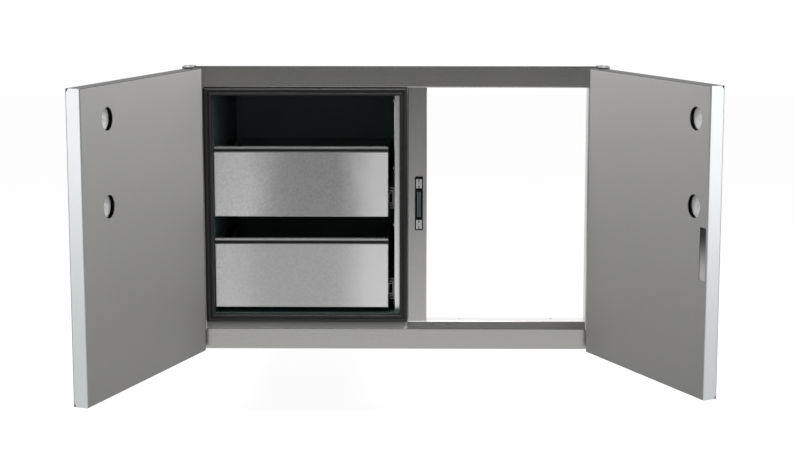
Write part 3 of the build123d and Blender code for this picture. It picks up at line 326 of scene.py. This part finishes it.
def skin_satin(name, leaf):
    """Brushed outer skin of a door: upright grain under a slow random sheen, a face painted lighter towards the
    top as painted light, a bluish painted reflection along the bend, a slightly rougher folded edge painted darker
    grey as painted shade, and upward faces painted near-black as painted shade.
    """
    material, tree, shader = new_material(name)
    fine, tone, _ = scratches(tree, "z")
    sheen = place_noise(tree, (3.0, 3.0, 1.5), detail=1.0)
    bend_painted_light, edge = free_edge(tree, leaf)
    painted_dark_top = normal_part(tree, "Z").between(0.08, 0.6)
    # Painted light: the face is painted lighter towards the top.
    height = place_part(tree, "Z").between(*SKIN_SHADE_Z)
    face = (tone * 0.08 + sheen * 0.22 + height * 0.7).mix(rgb(0.46, WARM), rgb(0.70, WARM))
    # Painted reflection: a bluish line along the bend. Painted shade: the folded edge is painted a darker grey.
    edged = edge.mix(bend_painted_light.mix(face, rgb(0.42, BLUISH)), rgb(0.34, COOL))
    # Painted shade: faces that look upward are painted near-black.
    join(painted_dark_top.mix(edged, rgb(0.06)), shader, "Base Color")
    join(0.3 + (fine - 0.5) * 0.05 + (sheen - 0.5) * 0.1 + edge * 0.06, shader, "Roughness")
    shader.inputs["Metallic"].default_value = 0.55
    shader.inputs["Specular IOR Level"].default_value = 0.2
    add_bump(tree, shader, fine, 0.015, GRAIN_DEPTH)
    return material


def drawer_satin(name, plain_value, painted_patch_value, painted_patch_x, strength):
    """Drawer front brushed in circles: fine mottle, a painted sheen towards the right with a painted dark
    reflection patch, bends painted bright as painted highlights, and a top face painted dark as painted shade.
    """
    material, tree, shader = new_material(name)
    fine, tone, _ = scratches(tree, "x")
    cloud = place_noise(tree, (14.0, 14.0, 9.0), detail=4.0)
    across = place_part(tree, "X") + (cloud - 0.5) * 0.05
    # Painted reflection: a darker patch across the front.
    from_painted_patch = across - painted_patch_x
    painted_dark_patch = 1.0 - (from_painted_patch * from_painted_patch).between(0.0, PAINTED_PATCH_REACH ** 2)
    # Painted highlight: the front is painted brighter towards the right.
    sheen = across.between(*DRAWER_PAINTED_SHEEN_X)
    outward = normal_part(tree, "Y")
    upward = normal_part(tree, "Z")
    # Painted shade: the top face is painted dark and made rougher.
    top = upward.between(0.02, 0.2)
    # Painted highlight: the side and bottom bends are painted near-white.
    bend_painted_light = (1.0 - outward * outward).between(0.06, 0.5) * (1.0 - top)
    plain = (tone * 0.5 + cloud * 0.5).mix(rgb(plain_value * 0.95), rgb(plain_value * 1.05))
    mottle = place_noise(tree, [MOTTLE_WAVES] * 3).between(0.3, 0.7)
    shade = mottle.mix(rgb(1.0 - strength), rgb(1.0 + strength))
    mottled = shade.times(painted_dark_patch.mix(plain, rgb(painted_patch_value)))
    face = sheen.mix(mottled, rgb(0.98))
    join(top.mix(bend_painted_light.mix(face, rgb(0.95)), rgb(0.16)), shader, "Base Color")
    join(0.25 + (fine - 0.5) * 0.06 + (cloud - 0.5) * 0.08 + top * 0.4, shader, "Roughness")
    shader.inputs["Metallic"].default_value = 0.45
    shader.inputs["Specular IOR Level"].default_value = 0.1
    add_bump(tree, shader, fine, 0.03, GRAIN_DEPTH)
    return material


def tray_sheet(name, hem):
    """Folded tray sheet: satin on the pull lip and the hem, duller in and round the tray, where it is painted dark
    bluish as painted shade, the groove under the lip too; the hem's top is painted paler as a painted highlight.
    """
    left, right, rear, foot = hem
    material, tree, shader = new_material(name)
    fine, tone, drift = scratches(tree, "x")
    across = place_part(tree, "X")
    depth = place_part(tree, "Y")
    behind = depth.between(*PULL_LIP_Y)
    sides = 1.0 - across.between(left, left + HEM_BLUR) + across.between(right - HEM_BLUR, right)
    edges = (sides + depth.between(rear - HEM_BLUR, rear)).between(0.2, 0.8)
    high = place_part(tree, "Z").between(foot - HEM_BLUR, foot)
    # Painted highlight: the top of the hem is bare metal, painted paler than the sheet round it.
    rim_bare_and_painted_highlight = edges * high * normal_part(tree, "Z").between(0.3, 0.7)
    lip = tone.mix(rgb(0.48), rgb(0.54))
    # Painted shade: behind the lip the sheet is painted dark bluish, the groove under the lip included.
    inside_painted_shade = (tone * 0.5 + drift * 0.5).mix(rgb(0.18, BLUISH), rgb(0.26, BLUISH))
    join(behind.mix(lip, rim_bare_and_painted_highlight.mix(inside_painted_shade, rgb(0.6))), shader, "Base Color")
    join(0.28 + behind * 0.16 + (fine - 0.5) * 0.08, shader, "Roughness")
    join(1.0 - behind * (0.5 - rim_bare_and_painted_highlight * 0.5), shader, "Metallic")
    add_bump(tree, shader, fine, 0.08, GRAIN_DEPTH)
    return material


def strike_sheet(name):
    """Strike plate behind the door's slot, painted near-black at the top as painted shade of the slot, fading to
    plain grey towards its lower end.
    """
    material, tree, shader = new_material(name)
    strike_noise = place_noise(tree, (60.0, 60.0, 20.0), detail=3.0)
    # Painted shade: near-black towards the top of the slot, plain grey towards its lower end, with a noisy border.
    height = (place_part(tree, "Z") + (strike_noise - 0.5) * 0.01).between(*STRIKE_SHADE_Z)
    join(height.mix(rgb(0.62, WARM), rgb(0.02)), shader, "Base Color")
    join(0.45 + (strike_noise - 0.5) * 0.2, shader, "Roughness")
    shader.inputs["Metallic"].default_value = 0.2
    add_bump(tree, shader, strike_noise, 0.1, 0.0001)
    return material


def coated_sheet(name, value, tint, roughness):
    """Dark semi-matt coat with a fine orange-peel surface and slight dust."""
    material, tree, shader = new_material(name)
    peel = place_noise(tree, (900.0, 900.0, 900.0))
    dust = place_noise(tree, (14.0, 14.0, 14.0), detail=4.0)
    cover = dust.between(0.45, 0.75)
    join(cover.mix(rgb(value, tint), rgb(value * 1.35, tint)), shader, "Base Color")
    join(roughness + (dust - 0.5) * 0.2, shader, "Roughness")
    add_bump(tree, shader, peel, 0.2, 0.0001)
    return material


def liner_sheet(name, middle, value):
    """Pantry sheet: dark semi-matt coat on the side of the middle, its dark teal partly painted shade of the
    pantry's inside, bare rolled steel outside.
    """
    material, tree, shader = new_material(name)
    fine, tone, drift = scratches(tree, "y")
    normal = tree.node("ShaderNodeNewGeometry", out="True Normal")
    outside = reach_along(tree, middle, normal).between(-0.01, 0.01)
    coat = drift.mix(rgb(value * 0.8, TEAL), rgb(value * 1.2, TEAL))
    bare = tone.mix(rgb(0.40), rgb(0.48))
    join(outside.mix(coat, bare), shader, "Base Color")
    join(0.38 + (fine - 0.5) * 0.1 + (drift - 0.5) * 0.1, shader, "Roughness")
    join(outside * 0.85, shader, "Metallic")
    add_bump(tree, shader, fine, 0.08, GRAIN_DEPTH)
    return material


def moulded(name, value, tint, roughness, shine=0.5):
    """Moulded rubber or plastic with a fine eroded texture."""
    material, tree, shader = new_material(name)
    skin = place_noise(tree, (1600.0, 1600.0, 1600.0), detail=3.0)
    bloom = place_noise(tree, (30.0, 30.0, 30.0), detail=3.0)
    tone = (skin * 0.4 + bloom * 0.6).between(0.3, 0.7)
    join(tone.mix(rgb(value * 0.85, tint), rgb(value * 1.2, tint)), shader, "Base Color")
    join(roughness + (bloom - 0.5) * 0.2, shader, "Roughness")
    shader.inputs["Specular IOR Level"].default_value = shine
    add_bump(tree, shader, skin, 0.25, 0.00008)
    return material


def plated(name, value, tint, roughness, metallic=1.0):
    """Rolled and plated sheet: soft spangle and rolling lines along Y."""
    material, tree, shader = new_material(name)
    lines = place_noise(tree, (700.0, 5.0, 700.0))
    spangle = place_noise(tree, (120.0, 120.0, 120.0), detail=1.0)
    tone = (lines * 0.5 + spangle * 0.5).between(0.3, 0.7)
    join(tone.mix(rgb(value * 0.9, tint), rgb(value * 1.08, tint)), shader, "Base Color")
    join(roughness + (spangle - 0.5) * 0.18, shader, "Roughness")
    shader.inputs["Metallic"].default_value = metallic
    add_bump(tree, shader, lines, 0.2, 0.00005)
    return material


def lug_metal(name):
    """Bright die-cast lug, painted dark in the groove down its middle as painted shade."""
    material, tree, shader = new_material(name)
    grit = place_noise(tree, (900.0, 900.0, 900.0), detail=3.0)
    # Painted shade in the groove down the middle.
    painted_groove_shade = place_part(tree, "Y").between(*LUG_GROOVE_SHADE_Y)
    join(painted_groove_shade.mix(grit.mix(rgb(0.68), rgb(0.78)), rgb(0.10)), shader, "Base Color")
    join(0.36 + (grit - 0.5) * 0.1, shader, "Roughness")
    shader.inputs["Metallic"].default_value = 1.0
    add_bump(tree, shader, grit, 0.1, GRAIN_DEPTH)
    return material


def middle_of(slot):
    """Middle of the box around the CAD nodes of one material slot."""
    nodes = [node for name, node in frame["nodes"].items() if SLOTS[name] == slot]
    corners = [corner.co for node in nodes for corner in node.data.vertices]
    return Vector([(min(row) + max(row)) / 2 for row in zip(*corners)])


def tray_hem(level_name):
    """Inner edges of the hem that runs round a tray, left, right and rear, and a height just below it."""
    corners = [corner.co for corner in frame["nodes"][f"{level_name}_drawer_tray"].data.vertices]
    body = [place for place in corners if place.y > TRAY_MIDDLE]
    left = min(place.x for place in body) + HEM_WIDTH
    right = max(place.x for place in body) - HEM_WIDTH
    rear = max(place.y for place in body) - HEM_WIDTH
    return left, right, rear, max(place.z for place in body) - HEM_WIDTH


def door_leaf(side_name):
    """Hinge, direction from it along the leaf and reach of the free edge of one door."""
    joint = next(row for row in frame["joints"] if row["name"] == f"{side_name}_door_hinge")
    hinge = Vector(joint["pos_m"])
    swing = radians(-joint["range_deg"][0])
    inward = 1.0 if hinge.x < 0 else -1.0
    along = Vector((inward * cos(swing), -sin(swing), 0.0))
    corners = frame["nodes"][f"{side_name}_door_inner_pan"].data.vertices
    reach = max((corner.co - hinge).dot(along) for corner in corners)
    return hinge, along, reach


FINISHES = {
    "frame_steel": frame_satin("frame_satin", 0.48, "x"),
    # Painted shade in part: the coat's dark teal stands in for the shade inside the pantry.
    "liner_coat": liner_sheet("liner_coat", middle_of("liner_coat"), 0.15),
    "post_steel": brushed_steel("post_bright", 0.94, PLAIN, "z", 0.26),
    "seal_rubber": moulded("seal_rubber", 0.018, PLAIN, 0.5),
    "slide_zinc": plated("slide_zinc", 0.38, COOL, 0.35),
    "hinge_steel": coated_sheet("hinge_coat", 0.10, PLAIN, 0.55),
    "fastener_steel": plated("fastener_steel", 0.55, PLAIN, 0.32),
    "handle_steel": brushed_steel("handle_satin", 0.56, WARM, "z", 0.30),
    "spacer_aluminium": plated("spacer_turned", 0.88, PLAIN, 0.55, 0.1),
    "bush_nylon": moulded("bush_nylon", 0.70, (1.0, 0.99, 0.95), 0.45),
    "cage_steel": plated("cage_steel", 0.40, PLAIN, 0.42),
    "lever_plastic": moulded("lever_plastic", 0.03, PLAIN, 0.45),
    "catch_plastic": moulded("catch_plastic", 0.008, TEAL, 0.42, shine=0.12),
    "catch_lug_metal": lug_metal("catch_lug_bright"),
    "pole_steel": plated("pole_ground", 0.36, TEAL, 0.40),
    "magnet_ferrite": moulded("magnet_ferrite", 0.02, PLAIN, 0.6),
}
UPRIGHT_STEEL = frame_satin("stile_satin", 0.51, "z")
NODE_FINISHES = {
    "frame_left_stile": UPRIGHT_STEEL,
    "frame_right_stile": UPRIGHT_STEEL,
    "centre_stile": UPRIGHT_STEEL,
    "right_door_strike_plate": strike_sheet("strike_painted_shade"),
    # Painted light: the back sheet's coat is painted lighter than the walls'.
    "pantry_back": liner_sheet("liner_back_painted_light", middle_of("liner_coat"), 0.34),
}
PALE_STEEL = plated("pale_steel", 0.85, PLAIN, 0.45, 0.2)
for node_name in ("left_door_handle_screws", "right_door_handle_screws", "liner_rivets"):
    NODE_FINISHES[node_name] = PALE_STEEL
for level, tones in DRAWER_TONES.items():
    NODE_FINISHES[f"{level}_drawer_front"] = drawer_satin(f"{level}_front_satin", *tones)
    NODE_FINISHES[f"{level}_drawer_tray"] = tray_sheet(f"{level}_tray_sheet", tray_hem(level))
for side in ("left", "right"):
    leaf = door_leaf(side)
    NODE_FINISHES[f"{side}_door_inner_pan"] = pan_satin(f"{side}_door_pan_satin", leaf)
    NODE_FINISHES[f"{side}_door_outer_skin"] = skin_satin(f"{side}_door_skin_satin", leaf)
    NODE_FINISHES[f"{side}_door_stiffener"] = NODE_FINISHES[f"{side}_door_outer_skin"]


def dress_solids():
    """Give every CAD node its finish, and soften its sharp edges."""
    for name, node in frame["nodes"].items():
        node.data.materials.clear()
        node.data.materials.append(NODE_FINISHES.get(name) or FINISHES[SLOTS[name]])
        if name.endswith(("inner_pan", "outer_skin")):
            continue
        weld = node.modifiers.new("weld", "WELD")
        weld.merge_threshold = WELD_GAP
        edges = node.modifiers.new("edges", "BEVEL")
        edges.width = EDGE_ROUND
        edges.segments = 2
        edges.limit_method = "ANGLE"
        edges.angle_limit = radians(EDGE_ANGLE)
        edges.harden_normals = True


def loose_solids(node_name):
    """Corners of each separate solid of a CAD node."""
    mesh = frame["nodes"][node_name].data
    group_of = {}
    for face in mesh.polygons:
        keys = [tuple(round(part, 6) for part in mesh.vertices[index].co) for index in face.vertices]
        merged = set(keys)
        for key in keys:
            merged |= group_of.get(key, set())
        for key in merged:
            group_of[key] = merged
    groups = {id(group): group for group in group_of.values()}
    return [[Vector(key) for key in sorted(group)] for group in groups.values()]


def pick_faces(piece, chosen):
    """Open a piece in edit mode with only the faces selected whose middle and normal pass a test."""
    bpy.ops.object.mode_set(mode="EDIT")
    bpy.ops.mesh.select_mode(type="FACE")
    bpy.ops.mesh.select_all(action="DESELECT")
    bpy.ops.object.mode_set(mode="OBJECT")
    for face in piece.data.polygons:
        face.select = chosen(face.center, face.normal)
    bpy.ops.object.mode_set(mode="EDIT")


def pull_faces(x, y, z):
    """Extrude the selected faces."""
    bpy.ops.mesh.extrude_region_move(TRANSFORM_OT_translate={"value": (x, y, z)})


def cut_away(piece, cutter):
    """Take the cutter's shape out of the piece."""
    recess = piece.modifiers.new("recess", "BOOLEAN")
    recess.operation = "DIFFERENCE"
    recess.object = cutter
    bpy.context.view_layer.objects.active = piece
    bpy.ops.object.modifier_apply(modifier="recess")
    bpy.data.objects.remove(cutter)


def drive_cutter(drive, radius, top):
    """Shape of a screw's drive recess, sunk into the top of its head."""
    place = (0.0, 0.0, top)
    depth = top * RECESS_SHARE
    blade = radius * BLADE_SHARE
    rounds = {"socket": (6, SOCKET_SHARE), "dimple": (12, DIMPLE_SHARE)}
    if drive in rounds:
        sides, share = rounds[drive]
        bpy.ops.mesh.primitive_cylinder_add(
            vertices=sides, radius=radius * share, depth=depth, location=place
        )
    else:
        bpy.ops.mesh.primitive_cube_add(size=1.0, location=place)
        bpy.ops.transform.resize(value=(blade, blade, depth))
    cutter = bpy.context.object
    bpy.ops.object.transform_apply(location=True, rotation=True, scale=True)
    arms = {"cross": ((1, 0), (-1, 0), (0, 1), (0, -1)), "slot": ((0, 1), (0, -1))}
    for x, y in arms.get(drive, ()):
        pick_faces(cutter, lambda middle, normal: normal.x * x + normal.y * y > FACING)
        length = radius * (CROSS_SHARE if drive == "cross" else SLOT_SHARE)
        pull_faces(x * length, y * length, 0.0)
        bpy.ops.object.mode_set(mode="OBJECT")
    return cutter


def headed_fastener(name, drive, head_radius, head_height, shank_radius, shank_length):
    """Screw or rivet that stands on the XY plane: rounded head with its recess above, shank below."""
    bpy.ops.mesh.primitive_cylinder_add(
        vertices=24, radius=head_radius, depth=head_height, location=(0, 0, head_height / 2)
    )
    fastener = bpy.context.object
    fastener.name = name
    bpy.ops.object.transform_apply(location=True)
    pick_faces(fastener, lambda middle, normal: normal.z > FACING)
    dome = min(head_height * DOME_SHARE, head_radius * DOME_LIMIT)
    bpy.ops.mesh.bevel(offset=dome, segments=4, affect="EDGES")
    if shank_length > 0:
        pick_faces(fastener, lambda middle, normal: normal.z < -FACING)
        bpy.ops.mesh.inset(thickness=head_radius - shank_radius)
        pull_faces(0.0, 0.0, -shank_length)
        bpy.ops.mesh.bevel(offset=shank_radius * TIP_SHARE, segments=1, affect="EDGES")
    bpy.ops.object.mode_set(mode="OBJECT")
    if drive and shank_length > 0:
        cut_away(fastener, drive_cutter(drive, head_radius, head_height))
    return fastener


def read_fastener(corners, axes):
    """Seat, direction of the head and sizes of one headed pin, whose own axis keeps its corners nearest."""
    middle = sum(corners, Vector()) / len(corners)
    spread = {}
    for axis in axes:
        heights = [(corner - middle).dot(axis) for corner in corners]
        radii = [(corner - middle - axis * height).length for corner, height in zip(corners, heights)]
        spread[max(radii)] = (axis, heights, radii)
    axis, heights, radii = spread[min(spread)]
    head = [height for height, radius in zip(heights, radii) if radius > HEAD_SHARE * max(radii)]
    turn = 1.0 if sum(head) > 0 else -1.0
    head = sorted(turn * height for height in head)
    foot = min(turn * height for height in heights)
    seat = middle + axis * (turn * head[0])
    sizes = (max(radii), head[-1] - head[0], min(radii), head[0] - foot)
    return seat, axis * turn, tuple(round(size, 5) for size in sizes)


def copy_of(pattern):
    """A copy of a modelled piece with its own mesh."""
    copy = pattern.copy()
    copy.data = pattern.data.copy()
    bpy.context.scene.collection.objects.link(copy)
    return copy


def set_down(piece, place, direction):
    """Put a piece's mesh at a place, with its Z axis along a direction."""
    piece.location = place
    piece.rotation_mode = "QUATERNION"
    piece.rotation_quaternion = direction.to_track_quat("Z", "Y")
    select_only(piece)
    bpy.ops.object.transform_apply(location=True, rotation=True, scale=True)


def select_only(*pieces):
    bpy.ops.object.select_all(action="DESELECT")
    for piece in pieces:
        piece.select_set(True)
    bpy.context.view_layer.objects.active = pieces[0]


def stand_in(name, pieces, *nodes):
    """Join modelled pieces into one that takes the place of CAD nodes, on their body and slot."""
    select_only(*pieces)
    bpy.ops.object.join()
    piece = bpy.context.object
    piece.name = name
    bpy.ops.object.shade_smooth_by_angle(angle=radians(SMOOTH_ANGLE))
    slot = SLOTS[nodes[0]]
    piece.data.materials.clear()
    piece.data.materials.append(NODE_FINISHES.get(nodes[0]) or FINISHES[slot])
    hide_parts(*nodes)
    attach(piece, next(body for body, members in BODIES.items() if nodes[0] in members))
    bpy.ops.object.select_all(action="DESELECT")


def model_fasteners(node, drive, axes):
    """Screws, pins or rivets with real heads in place of a node's plain ones."""
    patterns = {}
    placed = []
    for corners in loose_solids(node):
        seat, direction, sizes = read_fastener(corners, axes)
        if sizes not in patterns:
            patterns[sizes] = headed_fastener(f"{node}_pattern", drive, *sizes)
        piece = copy_of(patterns[sizes])
        set_down(piece, seat, direction)
        placed.append(piece)
    for pattern in patterns.values():
        bpy.data.objects.remove(pattern)
    stand_in(f"{node}_detailed", placed, node)


def cage_with_balls(name, width, length):
    """Stamped ball cage along Y: shallow channel strip with a row of balls through it."""
    bpy.ops.mesh.primitive_cube_add(size=1.0)
    strip = bpy.context.object
    strip.name = name
    bpy.ops.transform.resize(value=(width, length, CAGE_SHEET))
    bpy.ops.object.transform_apply(scale=True)
    for out in (1.0, -1.0):
        pick_faces(strip, lambda middle, normal: normal.z * out > FACING)
        bpy.ops.mesh.inset(thickness=width * CAGE_RIM_SHARE)
        pull_faces(0.0, 0.0, -out * CAGE_SHEET * CAGE_SINK_SHARE)
        bpy.ops.object.mode_set(mode="OBJECT")
    bpy.ops.mesh.primitive_ico_sphere_add(
        subdivisions=1, radius=BALL_RADIUS, location=(0, -BALL_PITCH * (BALL_COUNT - 1) / 2, 0)
    )
    balls = bpy.context.object
    bpy.ops.object.transform_apply(location=True)
    row = balls.modifiers.new("row", "ARRAY")
    row.count = BALL_COUNT
    row.use_relative_offset = False
    row.use_constant_offset = True
    row.constant_offset_displace = (0.0, BALL_PITCH, 0.0)
    bpy.ops.object.modifier_apply(modifier="row")
    select_only(strip, balls)
    bpy.ops.object.join()
    return strip


def model_cages(level):
    """Ball cages of one drawer's slides in place of the plain bars."""
    node = f"{level}_slide_ball_cages"
    pattern = None
    placed = []
    for corners in loose_solids(node):
        low = Vector([min(corner[axis] for corner in corners) for axis in range(3)])
        high = Vector([max(corner[axis] for corner in corners) for axis in range(3)])
        if pattern is None:
            pattern = cage_with_balls(f"{node}_pattern", high.x - low.x, high.y - low.y)
        piece = copy_of(pattern)
        set_down(piece, (low + high) / 2, Vector((0.0, 0.0, 1.0)))
        placed.append(piece)
    bpy.data.objects.remove(pattern)
    stand_in(f"{node}_detailed", placed, node)


def model_details():
    """Modelled fasteners and ball cages."""
    main_axes = [Vector((1.0, 0.0, 0.0)), Vector((0.0, 1.0, 0.0)), Vector((0.0, 0.0, 1.0))]
    model_fasteners("liner_rivets", "dimple", main_axes)
    model_fasteners("hinge_pins", "dimple", main_axes)
    model_fasteners("hinge_bracket_screws", "socket", main_axes)
    model_fasteners("catch_screws", "slot", main_axes)
    model_fasteners("slide_screws", "cross", main_axes)
    for level_name in ("upper", "lower"):
        model_fasteners(f"{level_name}_drawer_screws", "cross", main_axes)
        model_cages(level_name)
    for side_name in ("left", "right"):
        along = door_leaf(side_name)[1]
        model_fasteners(f"{side_name}_door_handle_screws", "socket", [along.cross(Vector((0.0, 0.0, 1.0)))])


def studio_floor():
    """Pale floor that the camera and the metal see as white, with the object's soft shadow on it."""
    bpy.ops.mesh.primitive_plane_add(size=FLOOR_SIZE, location=(0.0, 0.0, FLOOR_LEVEL))
    floor = bpy.context.object
    floor.name = "studio_floor"
    material = bpy.data.materials.new("studio_floor")
    material.use_nodes = True
    material.node_tree.nodes.clear()
    tree = Wire(material.node_tree)
    seen = tree.node("ShaderNodeLightPath", out="Is Camera Ray")
    glossy = tree.node("ShaderNodeLightPath", out="Is Glossy Ray")
    clear = tree.node("ShaderNodeLightPath", out="Is Transmission Ray")
    depth = place_part(tree, "Y")
    mirrored = 0.12 + depth.between(*FLOOR_FRONT_Y) * 0.45 + depth.between(*FLOOR_REAR_Y) * 0.3
    lit = tree.node("ShaderNodeBsdfDiffuse", None, {"Color": rgb(FLOOR_GREY)})
    strength = (seen + clear) * FLOOR_GLOW + glossy * mirrored
    glow = tree.node("ShaderNodeEmission", None, {"Color": rgb(1.0), "Strength": strength})
    both = tree.node("ShaderNodeAddShader", None, {0: lit, 1: glow})
    tree.node("ShaderNodeOutputMaterial", None, {"Surface": both})
    floor.data.materials.append(material)


def studio_world():
    """White surroundings behind the object, dim ones behind the camera for the metal to reflect."""
    world = bpy.data.worlds.new("studio")
    bpy.context.scene.world = world
    world.use_nodes = True
    world.node_tree.nodes.clear()
    tree = Wire(world.node_tree)
    seen = tree.node("ShaderNodeLightPath", out="Is Camera Ray")
    clear = tree.node("ShaderNodeLightPath", out="Is Transmission Ray")
    glossy = tree.node("ShaderNodeLightPath", out="Is Glossy Ray")
    direction = tree.node("ShaderNodeTexCoord", out="Generated")
    depth = tree.node("ShaderNodeSeparateXYZ", None, {0: direction}, out="Y")
    mirrored = WORLD_FRONT + depth.between(*WORLD_TURN_Y) * WORLD_REAR
    strength = (seen + clear) + glossy * mirrored + (1.0 - seen - clear - glossy) * WORLD_FILL
    back = tree.node("ShaderNodeBackground", None, {"Color": rgb(1.0), "Strength": strength})
    tree.node("ShaderNodeOutputWorld", None, {"Surface": back})


def soft_box(name, place, target, size, power):
    """Rectangular soft light that faces a point."""
    light = bpy.data.lights.new(name, "AREA")
    light.shape = "RECTANGLE"
    light.size, light.size_y = size
    light.energy = power
    lamp = bpy.data.objects.new(name, light)
    bpy.context.scene.collection.objects.link(lamp)
    lamp.location = place
    lamp.rotation_euler = (Vector(target) - Vector(place)).to_track_quat("-Z", "Y").to_euler()


def photo_camera():
    """Camera at the photograph's viewing angle."""
    data = bpy.data.cameras.new("photo_camera")
    data.lens = CAMERA_LENS
    data.shift_y = CAMERA_SHIFT
    camera = bpy.data.objects.new("photo_camera", data)
    bpy.context.scene.collection.objects.link(camera)
    camera.location = CAMERA_PLACE
    camera.rotation_euler = (radians(90.0 - CAMERA_PITCH), 0.0, radians(CAMERA_YAW))
    bpy.context.scene.camera = camera


dress_solids()
model_details()
studio_floor()
studio_world()
for soft_light in SOFT_BOXES:
    soft_box(*soft_light)
photo_camera()
bpy.context.scene.view_settings.view_transform = "Standard"
